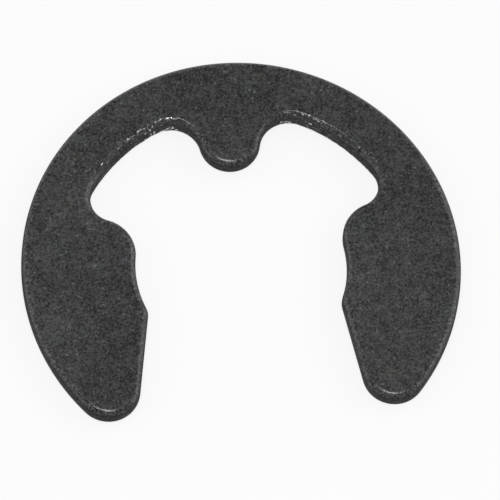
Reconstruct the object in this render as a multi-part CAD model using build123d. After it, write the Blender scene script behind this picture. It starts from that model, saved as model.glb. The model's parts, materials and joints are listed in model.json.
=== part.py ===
from build123d import *
import math
import os

# E-type external retaining ring for a 1/2 inch shaft, stamped in one piece from
# spring-steel strip and tumbled, so that both faces roll over into the cut edge.
# Origin: axis of the shaft, on the lower face.  +Z is the shaft's axis, +Y points
# from the mouth to the prong, and the ring is the same on both sides of X = 0.

# driving dimensions, mm
OUTSIDE_RADIUS = 20.32 / 2
SEAT_RADIUS = 9.78 / 2          # prong and arms grip the groove floor on this circle
THICKNESS = 1.07
FACE_ROLL = 0.36                # rolled edge round both faces

BACK_RADIUS = 7.79              # inner edge of the bow, concentric with the outside
PRONG_RADIUS = 1.42             # full-round end of the prong
NECK_RADIUS = 1.39              # between the prong and the bow
POCKET_RADIUS = 1.08            # closed end of each pocket
LOBE_RADIUS = 1.73              # shoulder where the seat turns out into the pocket
LOBE_ANGLE = 9.0                # degrees above the X axis, where the seat ends
MOUTH_FLARE = 10.07             # degrees, each lead-in face away from the Y axis
MOUTH_CORNER_ANGLE = 24.13      # degrees below the X axis, seat meets lead-in face
MOUTH_CORNER_RADIUS = 0.79
TIP_RADIUS = 1.48               # rounded end of each arm

ORIGIN = Vector(0, 0)
CORNER_REACH = SEAT_RADIUS + MOUTH_CORNER_RADIUS
TIP_REACH = OUTSIDE_RADIUS - TIP_RADIUS


def polar(radius, degrees):
    angle = math.radians(degrees)
    return Vector(radius * math.cos(angle), radius * math.sin(angle))


def heading(start, end):
    step = end - start
    return math.degrees(math.atan2(step.Y, step.X))


def meeting_point(centre_a, reach_a, centre_b, reach_b):
    """Point at the two given distances, on the left of the way from a to b."""
    way = centre_b - centre_a
    gap = way.length
    along = (reach_a**2 - reach_b**2 + gap**2) / (2 * gap)
    aside = math.sqrt(reach_a**2 - along**2)
    unit = way / gap
    return centre_a + unit * along + Vector(-unit.Y, unit.X) * aside


def beside_lead_in(offset, reach):
    """Centre that lies offset inside the lead-in face and reach from the origin."""
    into_metal = polar(1, MOUTH_FLARE)
    outward = polar(1, MOUTH_FLARE - 90)
    start = polar(SEAT_RADIUS, -MOUTH_CORNER_ANGLE) + into_metal * offset
    slope = start.dot(outward)
    travel = math.sqrt(slope**2 - start.dot(start) + reach**2) - slope
    return start + outward * travel


def turn(centre, radius, start, end, clockwise=False):
    """Arc of one circle between two headings given in degrees."""
    sweep = (start - end) % 360 if clockwise else (end - start) % 360
    return CenterArc(centre, radius, start, -sweep if clockwise else sweep)


def half_outline():
    """Right-hand half, from the prong's end round to the top of the bow."""
    prong = Vector(0, SEAT_RADIUS + PRONG_RADIUS)
    lobe = polar(SEAT_RADIUS + LOBE_RADIUS, LOBE_ANGLE)
    neck = meeting_point(ORIGIN, BACK_RADIUS - NECK_RADIUS, prong, PRONG_RADIUS + NECK_RADIUS)
    neck = Vector(abs(neck.X), neck.Y)
    pocket = meeting_point(ORIGIN, BACK_RADIUS - POCKET_RADIUS, lobe, LOBE_RADIUS + POCKET_RADIUS)
    corner = beside_lead_in(MOUTH_CORNER_RADIUS, CORNER_REACH)
    tip = beside_lead_in(TIP_RADIUS, TIP_REACH)

    facing_mouth = 180 + MOUTH_FLARE
    lead_in = Line(
        corner + polar(MOUTH_CORNER_RADIUS, facing_mouth),
        tip + polar(TIP_RADIUS, facing_mouth),
    )
    return [
        turn(prong, PRONG_RADIUS, -90, heading(prong, neck)),
        turn(neck, NECK_RADIUS, heading(neck, prong), heading(ORIGIN, neck), clockwise=True),
        turn(ORIGIN, BACK_RADIUS, heading(ORIGIN, neck), heading(ORIGIN, pocket), clockwise=True),
        turn(pocket, POCKET_RADIUS, heading(ORIGIN, pocket), heading(pocket, lobe), clockwise=True),
        turn(lobe, LOBE_RADIUS, heading(lobe, pocket), heading(lobe, ORIGIN)),
        turn(ORIGIN, SEAT_RADIUS, LOBE_ANGLE, heading(ORIGIN, corner), clockwise=True),
        turn(corner, MOUTH_CORNER_RADIUS, heading(corner, ORIGIN), facing_mouth),
        lead_in,
        turn(tip, TIP_RADIUS, facing_mouth, heading(ORIGIN, tip)),
        turn(ORIGIN, OUTSIDE_RADIUS, heading(ORIGIN, tip), 90),
    ]


def retaining_ring():
    right = half_outline()
    left = [edge.mirror(Plane.YZ) for edge in right]
    blank = extrude(make_face(right + left), THICKNESS)
    rims = blank.faces().filter_by(Axis.Z).edges()
    return fillet(rims, FACE_ROLL)


ring = retaining_ring()
ring.label = "retaining_ring"

os.makedirs("parts", exist_ok=True)
export_step(ring, "parts/retaining_ring.step")
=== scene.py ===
import bpy
import json
import math
from mathutils import Matrix, Vector


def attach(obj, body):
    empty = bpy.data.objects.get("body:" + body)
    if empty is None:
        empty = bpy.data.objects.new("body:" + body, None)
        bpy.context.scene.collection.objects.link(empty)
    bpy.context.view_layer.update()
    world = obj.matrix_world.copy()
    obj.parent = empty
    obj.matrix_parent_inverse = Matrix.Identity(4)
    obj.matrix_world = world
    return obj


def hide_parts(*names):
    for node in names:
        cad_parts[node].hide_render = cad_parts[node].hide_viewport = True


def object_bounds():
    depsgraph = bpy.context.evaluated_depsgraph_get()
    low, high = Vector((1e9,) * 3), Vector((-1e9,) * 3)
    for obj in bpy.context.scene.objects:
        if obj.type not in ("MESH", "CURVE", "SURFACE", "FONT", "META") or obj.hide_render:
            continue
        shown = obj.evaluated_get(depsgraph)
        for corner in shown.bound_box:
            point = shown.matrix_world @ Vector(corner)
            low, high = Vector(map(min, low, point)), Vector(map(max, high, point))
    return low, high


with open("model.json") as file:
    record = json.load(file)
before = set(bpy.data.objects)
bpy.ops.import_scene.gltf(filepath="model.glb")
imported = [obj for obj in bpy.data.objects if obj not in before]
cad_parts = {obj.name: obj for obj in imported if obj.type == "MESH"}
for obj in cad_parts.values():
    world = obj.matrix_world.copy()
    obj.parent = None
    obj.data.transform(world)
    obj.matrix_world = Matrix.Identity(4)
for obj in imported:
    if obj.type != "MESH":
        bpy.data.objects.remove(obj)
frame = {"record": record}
cad_low, cad_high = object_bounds()

MM = 0.001

# the ring: outside and thickness from the frame, seat circle from its mount
MESH_CLEARANCE = 0.001 * MM      # keeps the mesh inside the solid's box
OUTSIDE_RADIUS = min(cad_high.x, cad_high.y) - MESH_CLEARANCE
THICKNESS = cad_high.z - cad_low.z
MOUNTS = {mount["name"]: mount for mount in frame["record"]["mounts"]}
SEAT_RADIUS = MOUNTS["groove_seat"]["dims"]["r_mm"] * MM
FACE_ROLL = 0.36 * MM            # rolled edge round both faces
BACK_RADIUS = 7.79 * MM          # inner edge of the bow
PRONG_RADIUS = 1.42 * MM
NECK_RADIUS = 1.39 * MM          # between the prong and the bow
POCKET_RADIUS = 1.08 * MM        # closed end of each pocket
LOBE_RADIUS = 1.73 * MM          # shoulder between a pocket and the seat
LOBE_ANGLE = 9.0                 # degrees above the X axis, where the seat ends
MOUTH_FLARE = 10.07              # degrees, each lead-in face away from the Y axis
MOUTH_CORNER_ANGLE = 24.13       # degrees below the X axis, seat meets lead-in face
MOUTH_CORNER_RADIUS = 0.79 * MM
TIP_RADIUS = 1.48 * MM           # rounded end of each arm

# the mesh
STEP = 0.12 * MM                 # spacing of the points along the outline
POCKET_STEP = 0.06 * MM
JOIN_DISTANCE = STEP / 100       # points this close to the ring's middle plane are one
ROLL_SEGMENTS = 10
WALL_CUTS = 6
LEVEL_NORMAL = 0.9999            # Z of a face's normal, above which it is one of the two flats
UPRIGHT_SHARE = 0.9              # of the straight wall's height, above which an edge spans it
FACE_BORDER = 0.05 * MM          # narrow strip that keeps the flat's shading flat

# the pockets' back wall, torn by the punch and hardly reached by the tumbling
TORN_SPAN = (13, 22, 48, 62)     # degrees from the prong: begins, full, full, ends
TORN_DEPTH = (1.1, 0.9)          # behind the bow's inner edge, in face rolls: nothing, full
POCKET_RELIEF = 0.08 * MM        # its upper rim stands back this far
LEDGE_REACH = 0.018 * MM         # torn lower half of the cut stands out this far
RIPPLE_LENGTH = 0.2 * MM
RIPPLE_HEIGHT = 0.12 * MM
CALM_SHARE = 0.3                 # of the ripples' height, on the lower part of the wall

# heights on that wall, in mm above the lower face or, where the name says so, below the upper
LEDGE_FOOT = (0.02, 0.25)        # nothing, full
LEDGE_TOP = 0.55
LEDGE_BLEND = 0.06
RELIEF_BLEND = 0.05
RIPPLE_FOOT = (0, 0.1)           # nothing, full
RIPPLE_BELOW_TOP = 0.03
CALM_SPAN = (0.4, 0.7)           # calm, full
RIM_BELOW_TOP = (0.07, 0.02)     # nothing, full
FOOT_SPAN = (0.5, 0.35)          # nothing, full
MARK_BELOW_TOP = 0.01

# how bare the wall is in the left and in the right pocket
MIDDLE_WEAR = (0.76, 0.7)
RIM_WEAR = (0.72, 0.4)           # added at the upper rim
FOOT_WEAR = 0.1                  # added at the foot
FADED_WEAR = (0.38, 0.15)        # share lost towards the pockets' far ends
FADED_SPAN = (29, 44)            # degrees from the prong: nothing, full
MARK_GAIN = 1.5                  # the marks reach further along the wall than the relief

# the coating
COATING_COLOUR = (0.0253, 0.0253, 0.0255, 1)
# painted shade: the upright walls are coloured darker than the flats
PAINTED_WALL_SHADE = (0.0188, 0.0188, 0.0188, 1)
# worn nicks on the rolled edges, partly real wear and partly painted sheen in place of lamp light
WORN_AND_SHEEN_COLOUR = (0.088, 0.088, 0.086, 1)
BARE_STEEL = (0.56, 0.56, 0.55, 1)
COATING_GLOSS = 0.4              # 0.5 is plain lacquer
FLAT_ROUGHNESS = 0.38
ROLL_ROUGHNESS = 0.19
WALL_ROUGHNESS = 0.9
BARE_ROUGHNESS = 0.3
GRAIN_SIZE = 0.1 * MM
GRAIN_CONTRAST = 0.97
GRAIN_HEIGHT = 0.0094 * MM
SPECK_SIZE = 0.14 * MM
PALE_SPECK_SHADE = 2.1
DARK_SPECK_SHADE = -1.05
BLOTCH_SIZE = 0.45 * MM
BLOTCH_CONTRAST = 0.28
BROAD_SIZE = 4.2 * MM
BROAD_CONTRAST = 0.17
HUE_SIZE = 1.3 * MM
HUE_PATCH_SIZE = 1.8 * MM
HUE_STRENGTH = (0.003, 0.01)     # between the patches and on them
NICK_SIZE = 0.12 * MM
NICK_RAGGEDNESS = 0.2
FRACTURE_SHADE = 0.9             # torn steel is this much lighter than a coated wall
FLECK_LENGTH = 0.36 * MM
FLECK_WIDTH = 0.2 * MM
FLECK_SEED = 11.3
SCRATCH_WIDTH = 0.035 * MM
SCRATCH_LENGTH = 0.9 * MM
SCRATCH_TURNS = (0.5, 1.9, 2.8)  # radians

# noise lies about 0.5: the two values at which a pattern is darkest and lightest, or at
# which it begins to show and is full
GRAIN_RANGE = (0.25, 0.75)
SHADING_RANGE = (0.3, 0.7)       # blotches and broad shading
PALE_SPECK_RANGE = (0.7, 0.85)
DARK_SPECK_RANGE = (0.3, 0.15)
SCRATCH_RANGE = (0.73, 0.8)
HUE_RANGE = (0.5, 0.65)
NICK_RANGE = (0.53, 0.65)
RAGGED_RANGE = (0.35, 0.65)
BARE_RANGE = (0.6, 0.65)

# size of the normal's Z where the rolled edge and the wall begin and where they are full
ROLL_SLOPE = (0.999, 0.96)
WALL_SLOPE = (0.72, 0.4)

# where the viewer stands: degrees from straight above, degrees to the left of the ring's
# own axis, and how far the picture is tipped
VIEW_TILT = 21.99
VIEW_HEADING = 11.97
VIEW_ROLL = -7.65
VIEW_DISTANCE = 676 * MM
VIEW_WIDTH = 23.073 * MM         # seen across the picture at that distance
VIEW_TARGET = Vector((0.441 * MM, 0.652 * MM, THICKNESS))
SENSOR_WIDTH = 36                # mm
CLIP_SHARES = (0.1, 20)          # of the viewing distance

# the studio
PAPER_SIZE = 4                   # metres, as the lamps' distance
PAPER_COLOUR = (0.85, 0.85, 0.85, 1)
PAPER_GLOW = 0.8                 # share of plain white that the viewer and gloss see
ROOM_LIGHT = 0.45
BOX_DISTANCE = 0.5
LAMP_FACTOR = 4                  # watts of an area lamp for each unit of radiance and of area


def polar(radius, degrees):
    angle = math.radians(degrees)
    return Vector((radius * math.cos(angle), radius * math.sin(angle), 0))


def heading(start, end):
    step = end - start
    return math.degrees(math.atan2(step.y, step.x))


def meeting_point(centre_a, reach_a, centre_b, reach_b):
    """Point at the two given distances, on the left of the way from a to b."""
    way = centre_b - centre_a
    along = (reach_a**2 - reach_b**2 + way.length_squared) / (2 * way.length)
    aside = math.sqrt(reach_a**2 - along**2)
    unit = way.normalized()
    return centre_a + unit * along + Vector((-unit.y, unit.x, 0)) * aside


def beside_lead_in(offset, reach):
    """Centre that lies offset inside the lead-in face and reach from the shaft's axis."""
    into_metal = polar(1, MOUTH_FLARE)
    outward = polar(1, MOUTH_FLARE - 90)
    start = polar(SEAT_RADIUS, -MOUTH_CORNER_ANGLE) + into_metal * offset
    slope = start.dot(outward)
    travel = math.sqrt(slope**2 - start.length_squared + reach**2) - slope
    return start + outward * travel


def select_edges(mesh_object, wanted):
    """In edit mode, selects the edges for which wanted(start, end) is true."""
    bpy.ops.mesh.select_mode(type="EDGE")
    bpy.ops.mesh.select_all(action="DESELECT")
    bpy.ops.object.mode_set(mode="OBJECT")
    points = mesh_object.data.vertices
    for edge in mesh_object.data.edges:
        start, end = (points[index].co for index in edge.vertices)
        edge.select = wanted(start, end)
    bpy.ops.object.mode_set(mode="EDIT")


def select_faces(mesh_object, wanted):
    """In edit mode, selects the faces for which wanted(face) is true."""
    bpy.ops.mesh.select_mode(type="FACE")
    bpy.ops.mesh.select_all(action="DESELECT")
    bpy.ops.object.mode_set(mode="OBJECT")
    for face in mesh_object.data.polygons:
        face.select = wanted(face)
    bpy.ops.object.mode_set(mode="EDIT")


def turn_point(centre, radius, sweep, spacing=STEP):
    """Turns the selected point about a centre and leaves its path behind as an arc."""
    steps = max(2, math.ceil(radius * abs(math.radians(sweep)) / spacing))
    bpy.ops.mesh.spin(steps=steps, angle=-math.radians(sweep), center=centre, axis=(0, 0, 1))


def push_point(way):
    steps = math.ceil(way.length / STEP)
    for _ in range(steps):
        bpy.ops.mesh.extrude_region_move(TRANSFORM_OT_translate={"value": way / steps})


def draw_half_outline():
    """Right-hand half, from the prong's end round to the top of the bow."""
    axis = Vector((0, 0, 0))
    prong = Vector((0, SEAT_RADIUS + PRONG_RADIUS, 0))
    lobe = polar(SEAT_RADIUS + LOBE_RADIUS, LOBE_ANGLE)
    neck = meeting_point(prong, PRONG_RADIUS + NECK_RADIUS, axis, BACK_RADIUS - NECK_RADIUS)
    pocket = meeting_point(axis, BACK_RADIUS - POCKET_RADIUS, lobe, LOBE_RADIUS + POCKET_RADIUS)
    corner = beside_lead_in(MOUTH_CORNER_RADIUS, SEAT_RADIUS + MOUTH_CORNER_RADIUS)
    tip = beside_lead_in(TIP_RADIUS, OUTSIDE_RADIUS - TIP_RADIUS)
    facing_mouth = MOUTH_FLARE - 180
    into_mouth = polar(1, facing_mouth)
    back_sweep = heading(axis, pocket) - heading(axis, neck)

    turn_point(prong, PRONG_RADIUS, heading(prong, neck) + 90)
    turn_point(neck, NECK_RADIUS, heading(axis, neck) - heading(neck, prong) % 360, POCKET_STEP)
    turn_point(axis, BACK_RADIUS, back_sweep, POCKET_STEP)
    turn_point(pocket, POCKET_RADIUS, heading(pocket, lobe) - heading(axis, pocket), POCKET_STEP)
    turn_point(lobe, LOBE_RADIUS, heading(lobe, axis) % 360 - heading(lobe, pocket))
    turn_point(axis, SEAT_RADIUS, heading(axis, corner) - LOBE_ANGLE)
    turn_point(corner, MOUTH_CORNER_RADIUS, facing_mouth % 360 - heading(corner, axis) % 360)
    push_point(tip + into_mouth * TIP_RADIUS - corner - into_mouth * MOUTH_CORNER_RADIUS)
    turn_point(tip, TIP_RADIUS, heading(axis, tip) % 360 - facing_mouth % 360)
    turn_point(axis, OUTSIDE_RADIUS, 90 - heading(axis, tip))


def stamp_blank():
    """Square-edged blank: one point draws half the outline, which is mirrored and filled."""
    bpy.ops.object.select_all(action="DESELECT")
    bpy.ops.mesh.primitive_plane_add(size=STEP, location=(0, 0, 0))
    blank = bpy.context.object
    bpy.ops.object.mode_set(mode="EDIT")
    bpy.ops.mesh.merge(type="CENTER")
    bpy.ops.transform.translate(value=(0, SEAT_RADIUS, cad_low.z))
    draw_half_outline()
    bpy.ops.mesh.select_all(action="SELECT")
    bpy.ops.mesh.symmetrize(direction="POSITIVE_X", threshold=JOIN_DISTANCE)
    bpy.ops.mesh.select_all(action="SELECT")
    bpy.ops.mesh.edge_face_add()
    bpy.ops.mesh.extrude_region_move(TRANSFORM_OT_translate={"value": (0, 0, THICKNESS)})
    bpy.ops.mesh.select_all(action="SELECT")
    bpy.ops.mesh.normals_make_consistent(inside=False)
    bpy.ops.object.mode_set(mode="OBJECT")
    return blank


def roll_edges(ring):
    """Rounds both rims as tumbling does and divides the wall between them."""
    upright_height = (THICKNESS - 2 * FACE_ROLL) * UPRIGHT_SHARE
    bpy.ops.object.mode_set(mode="EDIT")
    select_edges(ring, lambda start, end: abs(start.z - end.z) < THICKNESS / 2)
    bpy.ops.mesh.bevel(
        offset=FACE_ROLL, segments=ROLL_SEGMENTS, profile=0.5, clamp_overlap=False)
    select_faces(ring, lambda face: abs(face.normal.z) > LEVEL_NORMAL)
    bpy.ops.mesh.inset(thickness=FACE_BORDER)
    select_edges(ring, lambda start, end: abs(start.z - end.z) > upright_height)
    bpy.ops.mesh.subdivide(number_cuts=WALL_CUTS)
    bpy.ops.object.mode_set(mode="OBJECT")


def smooth_step(value, nothing, full):
    """Rises softly from 0 to 1 between the two values, which may stand either way round."""
    share = min(1, max(0, (value - nothing) / (full - nothing)))
    return share * share * (3 - 2 * share)


def height_in_mm(place):
    return (place.z - cad_low.z) / MM


def degrees_from_prong(place):
    return math.degrees(math.atan2(abs(place.x), place.y))


def on_back_wall(place):
    """One on the back wall of either pocket, fading to nothing at its ends and rim."""
    reach = math.hypot(place.x, place.y)
    if reach < BACK_RADIUS - NECK_RADIUS:
        return 0
    side = degrees_from_prong(place)
    begins, full, still_full, ends = TORN_SPAN
    near_wall = smooth_step(reach, *(BACK_RADIUS + FACE_ROLL * depth for depth in TORN_DEPTH))
    return near_wall * smooth_step(side, begins, full) * smooth_step(side, ends, still_full)


def push_out(ring, name, weight_at, strength, texture=None):
    """Pushes the surface out where weight_at(place) is above zero, and applies it."""
    group = ring.vertex_groups.new(name=name)
    for vertex in ring.data.vertices:
        weight = weight_at(vertex.co)
        if weight > 0:
            group.add([vertex.index], weight, "REPLACE")
    modifier = ring.modifiers.new(name, "DISPLACE")
    modifier.vertex_group = name
    modifier.strength = strength
    modifier.mid_level = 0.5 if texture else 0
    modifier.texture = texture
    bpy.ops.object.modifier_apply(modifier=name)
    ring.vertex_groups.remove(ring.vertex_groups[name])


def tear_pocket_walls(ring):
    """The punch shears the upper part of the cut and tears the rest, which stands proud."""
    top = THICKNESS / MM

    def sheared(place):
        height = height_in_mm(place)
        over_ledge = smooth_step(height, LEDGE_TOP, LEDGE_TOP + RELIEF_BLEND)
        under_face = smooth_step(height, top, top - RELIEF_BLEND)
        return on_back_wall(place) * over_ledge * under_face

    def ledge(place):
        height = height_in_mm(place)
        over_foot = smooth_step(height, *LEDGE_FOOT)
        under_top = smooth_step(height, LEDGE_TOP, LEDGE_TOP - LEDGE_BLEND)
        return on_back_wall(place) * over_foot * under_top

    def rippled(place):
        height = height_in_mm(place)
        over_foot = smooth_step(height, *RIPPLE_FOOT)
        under_face = smooth_step(height, top, top - RIPPLE_BELOW_TOP)
        calmer_below = CALM_SHARE + (1 - CALM_SHARE) * smooth_step(height, *CALM_SPAN)
        return on_back_wall(place) * over_foot * under_face * calmer_below

    push_out(ring, "sheared relief", sheared, -POCKET_RELIEF)
    push_out(ring, "torn ledge", ledge, LEDGE_REACH)
    ripples = bpy.data.textures.new("tear ripples", "CLOUDS")
    ripples.noise_scale = RIPPLE_LENGTH
    ripples.noise_depth = 1
    push_out(ring, "tear ripples", rippled, RIPPLE_HEIGHT, ripples)


def mark_torn_steel(ring):
    """Writes how bare the torn wall is, most at its rim, as an attribute of the mesh."""
    top = THICKNESS / MM
    torn = ring.data.attributes.new("torn", "FLOAT", "POINT")
    for vertex, mark in zip(ring.data.vertices, torn.data):
        place = vertex.co
        height = height_in_mm(place)
        pocket = 0 if place.x < 0 else 1
        rim = smooth_step(height, *(top - below for below in RIM_BELOW_TOP))
        foot = smooth_step(height, *FOOT_SPAN)
        wear = MIDDLE_WEAR[pocket] + RIM_WEAR[pocket] * rim + FOOT_WEAR * foot
        fading = 1 - FADED_WEAR[pocket] * smooth_step(degrees_from_prong(place), *FADED_SPAN)
        under_face = smooth_step(height, top, top - MARK_BELOW_TOP)
        mark.value = min(1, MARK_GAIN * on_back_wall(place)) * under_face * wear * fading


def make_ring():
    ring = stamp_blank()
    ring.name = "ring"
    roll_edges(ring)
    tear_pocket_walls(ring)
    mark_torn_steel(ring)
    bpy.ops.object.shade_smooth()
    return ring


def add_node(tree, kind, settings, sockets):
    """New node; a socket's value is a number or colour, or the output that feeds it."""
    node = tree.nodes.new(kind)
    for name, value in settings.items():
        setattr(node, name, value)
    for name, value in sockets.items():
        if isinstance(value, bpy.types.NodeSocket):
            tree.links.new(value, node.inputs[name])
        else:
            node.inputs[name].default_value = value
    return node


def math_node(tree, operation, first, second=0.0):
    node = add_node(tree, "ShaderNodeMath", {"operation": operation}, {0: first, 1: second})
    return node.outputs["Value"]


def spread(tree, value, span, first=0, last=1):
    """Takes the span's two ends to first and last, with soft ends."""
    sockets = {
        "Value": value, "From Min": span[0], "From Max": span[1], "To Min": first, "To Max": last}
    node = add_node(tree, "ShaderNodeMapRange", {"interpolation_type": "SMOOTHSTEP"}, sockets)
    return node.outputs["Result"]


def mix_colours(tree, share, first, second):
    sockets = {0: share, 6: first, 7: second}
    return add_node(tree, "ShaderNodeMix", {"data_type": "RGBA"}, sockets).outputs[2]


def mix_numbers(tree, share, first, second):
    return add_node(tree, "ShaderNodeMix", {}, {0: share, 2: first, 3: second}).outputs[0]


def noise(tree, place, size, detail=0):
    sockets = {"Vector": place, "Scale": 1 / size, "Detail": detail}
    return add_node(tree, "ShaderNodeTexNoise", {}, sockets).outputs


def new_group(name, inputs, outputs):
    """Empty node group, with its inputs by name and the node that takes its results."""
    tree = bpy.data.node_groups.new(name, "ShaderNodeTree")
    for label, kind in inputs.items():
        tree.interface.new_socket(label, in_out="INPUT", socket_type=kind)
    for label, kind in outputs.items():
        tree.interface.new_socket(label, in_out="OUTPUT", socket_type=kind)
    return tree, tree.nodes.new("NodeGroupInput").outputs, tree.nodes.new("NodeGroupOutput")


def place_group(tree, group, sockets):
    return add_node(tree, "ShaderNodeGroup", {"node_tree": group}, sockets).outputs


def make_grain_group():
    """Phosphate crystals: fine grain, soft blotches and a faint change of hue."""
    tree, given, result = new_group(
        "phosphate grain",
        {"Place": "NodeSocketVector"},
        {"Shade": "NodeSocketFloat", "Hue": "NodeSocketColor", "Height": "NodeSocketFloat"},
    )
    place = given["Place"]
    fine = noise(tree, place, GRAIN_SIZE, detail=2)["Fac"]
    specks = noise(tree, place, SPECK_SIZE)["Fac"]
    blotches = noise(tree, place, BLOTCH_SIZE, detail=3)["Fac"]
    broad = noise(tree, place, BROAD_SIZE, detail=1)["Fac"]
    hue = noise(tree, place, HUE_SIZE, detail=1)["Color"]
    layers = (
        spread(tree, fine, GRAIN_RANGE, -GRAIN_CONTRAST, GRAIN_CONTRAST),
        spread(tree, blotches, SHADING_RANGE, -BLOTCH_CONTRAST, BLOTCH_CONTRAST),
        spread(tree, broad, SHADING_RANGE, -BROAD_CONTRAST, BROAD_CONTRAST),
        spread(tree, specks, PALE_SPECK_RANGE, 0, PALE_SPECK_SHADE),
        spread(tree, specks, DARK_SPECK_RANGE, 0, DARK_SPECK_SHADE),
    )
    shade = 1.0
    for layer in layers:
        shade = math_node(tree, "ADD", layer, shade)
    tree.links.new(shade, result.inputs["Shade"])
    tree.links.new(hue, result.inputs["Hue"])
    tree.links.new(fine, result.inputs["Height"])
    return tree


def make_edge_group():
    """Masks by the way the surface faces: the tumbled roll, and the sheared wall."""
    tree, given, result = new_group(
        "tumbled edges",
        {"Facing": "NodeSocketVector"},
        {"Roll": "NodeSocketFloat", "Wall": "NodeSocketFloat"},
    )
    parts = add_node(tree, "ShaderNodeSeparateXYZ", {}, {"Vector": given["Facing"]}).outputs
    upright = math_node(tree, "ABSOLUTE", parts["Z"])
    tree.links.new(spread(tree, upright, ROLL_SLOPE), result.inputs["Roll"])
    tree.links.new(spread(tree, upright, WALL_SLOPE), result.inputs["Wall"])
    return tree


def make_fleck_group():
    """Streaks drawn out round the shaft's axis, that is, along the back of the pockets."""
    tree, given, result = new_group(
        "torn flecks", {"Place": "NodeSocketVector"}, {"Streak": "NodeSocketFloat"})
    parts = add_node(tree, "ShaderNodeSeparateXYZ", {}, {"Vector": given["Place"]}).outputs
    turn = math_node(tree, "ARCTAN2", parts["X"], parts["Y"])
    reach_squared = math_node(
        tree, "ADD",
        math_node(tree, "MULTIPLY", parts["X"], parts["X"]),
        math_node(tree, "MULTIPLY", parts["Y"], parts["Y"]))
    over_rim = math_node(tree, "ADD", math_node(tree, "SQRT", reach_squared), parts["Z"])
    spot = add_node(tree, "ShaderNodeCombineXYZ", {}, {
        "X": math_node(tree, "MULTIPLY", turn, BACK_RADIUS / FLECK_LENGTH),
        "Y": math_node(tree, "DIVIDE", over_rim, FLECK_WIDTH),
        "Z": FLECK_SEED,
    })
    streaks = noise(tree, spot.outputs["Vector"], 1, detail=1)["Fac"]
    tree.links.new(streaks, result.inputs["Streak"])
    return tree


def make_scratch_group():
    """Short straight scratches that all lie one way."""
    tree, given, result = new_group(
        "fine scratches",
        {"Place": "NodeSocketVector", "Turn": "NodeSocketFloat"},
        {"Scratch": "NodeSocketFloat"},
    )
    turned = add_node(
        tree, "ShaderNodeVectorRotate", {"rotation_type": "Z_AXIS"},
        {"Vector": given["Place"], "Angle": given["Turn"]})
    drawn_out = add_node(
        tree, "ShaderNodeVectorMath", {"operation": "MULTIPLY"},
        {0: turned.outputs["Vector"], 1: (1 / SCRATCH_LENGTH, 1 / SCRATCH_WIDTH, 0)})
    streaks = noise(tree, drawn_out.outputs["Vector"], 1)["Fac"]
    tree.links.new(spread(tree, streaks, SCRATCH_RANGE), result.inputs["Scratch"])
    return tree


def make_steel():
    """Dark phosphated spring steel with painted shade on its walls, worn on its rolled edges,
    partly as painted sheen, and bare where it tore.
    """
    steel = bpy.data.materials.new("phosphated steel")
    steel.use_nodes = True
    tree = steel.node_tree
    coating = tree.nodes["Principled BSDF"]
    space = tree.nodes.new("ShaderNodeTexCoord").outputs
    place = space["Object"]
    grain = place_group(tree, make_grain_group(), {"Place": place})
    edges = place_group(tree, make_edge_group(), {"Facing": space["Normal"]})
    flecks = place_group(tree, make_fleck_group(), {"Place": place})
    torn = add_node(tree, "ShaderNodeAttribute", {"attribute_name": "torn"}, {}).outputs["Fac"]
    nicks = noise(tree, place, NICK_SIZE, detail=1)["Fac"]

    # how light the coating is from place to place
    shade = grain["Shade"]
    scratches = make_scratch_group()
    for turn in SCRATCH_TURNS:
        lines = place_group(tree, scratches, {"Place": place, "Turn": turn})
        shade = math_node(tree, "ADD", shade, lines["Scratch"])
    fracture = math_node(tree, "MULTIPLY", torn, edges["Wall"])
    lighter = math_node(tree, "MULTIPLY", fracture, FRACTURE_SHADE)
    shade = math_node(tree, "ADD", shade, lighter)

    # coating, painted shade on walls, worn nicks with painted sheen on rolled edges, bare torn
    # flecks
    hue_patches = noise(tree, place, HUE_PATCH_SIZE)["Fac"]
    hue_share = spread(tree, hue_patches, HUE_RANGE, *HUE_STRENGTH)
    hued = mix_colours(tree, hue_share, COATING_COLOUR, grain["Hue"])
    # painted shade: the wall mask darkens the colour of the upright faces
    wall_with_painted_shade = mix_colours(tree, edges["Wall"], hued, PAINTED_WALL_SHADE)
    shaded = add_node(
        tree, "ShaderNodeVectorMath", {"operation": "SCALE"},
        {"Vector": wall_with_painted_shade, "Scale": shade}).outputs["Vector"]
    # lighter nicks on the rolled edges: partly real wear, partly painted sheen
    rim_wear_and_sheen = math_node(tree, "SUBTRACT", edges["Roll"], edges["Wall"])
    nick_wear_and_sheen = math_node(tree, "MULTIPLY", spread(tree, nicks, NICK_RANGE), rim_wear_and_sheen)
    worn_and_sheen_colour = mix_colours(tree, nick_wear_and_sheen, shaded, WORN_AND_SHEEN_COLOUR)
    streaked = math_node(tree, "MULTIPLY", flecks["Streak"], torn)
    ragged = spread(tree, nicks, RAGGED_RANGE, -NICK_RAGGEDNESS, NICK_RAGGEDNESS)
    bare = spread(tree, math_node(tree, "ADD", streaked, ragged), BARE_RANGE)
    colour = mix_colours(tree, bare, worn_and_sheen_colour, BARE_STEEL)

    # satin flat, polished roll, dull wall, brighter bare steel
    polish = spread(tree, edges["Roll"], (0, 1), FLAT_ROUGHNESS, ROLL_ROUGHNESS)
    dulling = math_node(tree, "MULTIPLY", edges["Wall"], WALL_ROUGHNESS - ROLL_ROUGHNESS)
    coated_roughness = math_node(tree, "ADD", polish, dulling)
    roughness = mix_numbers(tree, bare, coated_roughness, BARE_ROUGHNESS)
    bump = add_node(
        tree, "ShaderNodeBump", {},
        {"Height": grain["Height"], "Distance": GRAIN_HEIGHT, "Strength": 1.0})

    coating.inputs["Specular IOR Level"].default_value = COATING_GLOSS
    tree.links.new(colour, coating.inputs["Base Color"])
    tree.links.new(bare, coating.inputs["Metallic"])
    tree.links.new(roughness, coating.inputs["Roughness"])
    tree.links.new(bump.outputs["Normal"], coating.inputs["Normal"])
    return steel


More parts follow.
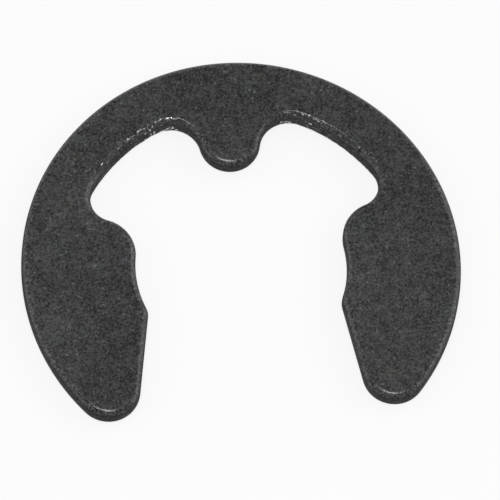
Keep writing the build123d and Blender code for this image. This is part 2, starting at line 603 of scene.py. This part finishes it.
def make_paper():
    """White paper: plain to the light, and near white to the viewer and in reflections."""
    paper = bpy.data.materials.new("white paper")
    paper.use_nodes = True
    tree = paper.node_tree
    tree.nodes.clear()
    rays = tree.nodes.new("ShaderNodeLightPath").outputs
    seen = math_node(tree, "MAXIMUM", rays["Is Camera Ray"], rays["Is Glossy Ray"])
    seen = math_node(tree, "MAXIMUM", seen, rays["Is Transmission Ray"])
    plain = add_node(tree, "ShaderNodeBsdfDiffuse", {}, {"Color": PAPER_COLOUR})
    white = add_node(tree, "ShaderNodeEmission", {}, {"Strength": 1.0})
    mixed = add_node(tree, "ShaderNodeMixShader", {}, {
        0: math_node(tree, "MULTIPLY", seen, PAPER_GLOW),
        1: plain.outputs["BSDF"],
        2: white.outputs["Emission"],
    })
    add_node(tree, "ShaderNodeOutputMaterial", {}, {"Surface": mixed.outputs["Shader"]})
    return paper


def make_floor():
    bpy.ops.object.select_all(action="DESELECT")
    bpy.ops.mesh.primitive_plane_add(size=PAPER_SIZE, location=(0, 0, cad_low.z))
    floor = bpy.context.object
    floor.name = "floor"
    floor.data.materials.append(make_paper())
    return floor


def add_room_light():
    room = bpy.data.worlds.new("studio")
    room.use_nodes = True
    room.node_tree.nodes["Background"].inputs["Color"].default_value = (1, 1, 1, 1)
    room.node_tree.nodes["Background"].inputs["Strength"].default_value = ROOM_LIGHT
    bpy.context.scene.world = room


def add_softbox(name, lean, side, width, depth, radiance):
    """Lamp facing the ring: lean degrees from overhead, side degrees round from the viewer."""
    bearing = math.radians(VIEW_HEADING + 180 + side)
    lean = math.radians(lean)
    level = Vector((math.sin(bearing), math.cos(bearing), 0))
    out = level * math.sin(lean) + Vector((0, 0, math.cos(lean)))
    along = Vector((math.cos(bearing), -math.sin(bearing), 0))
    lamp = bpy.data.lights.new(name, "AREA")
    lamp.shape = "RECTANGLE"
    lamp.size = width
    lamp.size_y = depth
    lamp.energy = radiance * LAMP_FACTOR * width * depth
    box = bpy.data.objects.new(name, lamp)
    turn = Matrix((along, out.cross(along), out)).transposed().to_4x4()
    box.matrix_world = Matrix.Translation(out * BOX_DISTANCE) @ turn
    box.visible_camera = False
    bpy.context.collection.objects.link(box)


def view_axes():
    """Right, up and backward directions of the picture."""
    tilt, aim, roll = map(math.radians, (VIEW_TILT, VIEW_HEADING, VIEW_ROLL))
    away = Vector((math.sin(aim), math.cos(aim), 0))
    level = Vector((math.cos(aim), -math.sin(aim), 0))
    back = Vector((0, 0, math.cos(tilt))) - away * math.sin(tilt)
    rise = away * math.cos(tilt) + Vector((0, 0, math.sin(tilt)))
    right = level * math.cos(roll) - rise * math.sin(roll)
    up = level * math.sin(roll) + rise * math.cos(roll)
    return right, up, back


def add_camera():
    right, up, back = view_axes()
    data = bpy.data.cameras.new("camera")
    data.sensor_width = SENSOR_WIDTH
    data.lens = SENSOR_WIDTH * VIEW_DISTANCE / VIEW_WIDTH
    data.clip_start, data.clip_end = (VIEW_DISTANCE * share for share in CLIP_SHARES)
    camera = bpy.data.objects.new("camera", data)
    turn = Matrix((right, up, back)).transposed().to_4x4()
    camera.matrix_world = Matrix.Translation(VIEW_TARGET + back * VIEW_DISTANCE) @ turn
    bpy.context.collection.objects.link(camera)
    bpy.context.scene.camera = camera


ring = make_ring()
ring.data.materials.append(make_steel())
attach(ring, "root")
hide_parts("retaining_ring")

make_floor()
add_room_light()
add_softbox("key", lean=13.5, side=8, width=0.2, depth=0.11, radiance=12.5)
add_softbox("left", lean=72, side=81, width=0.62, depth=0.36, radiance=0.58)
add_softbox("right", lean=66, side=-113, width=0.53, depth=0.38, radiance=1.03)
add_camera()
bpy.context.scene.view_settings.view_transform = "Standard"
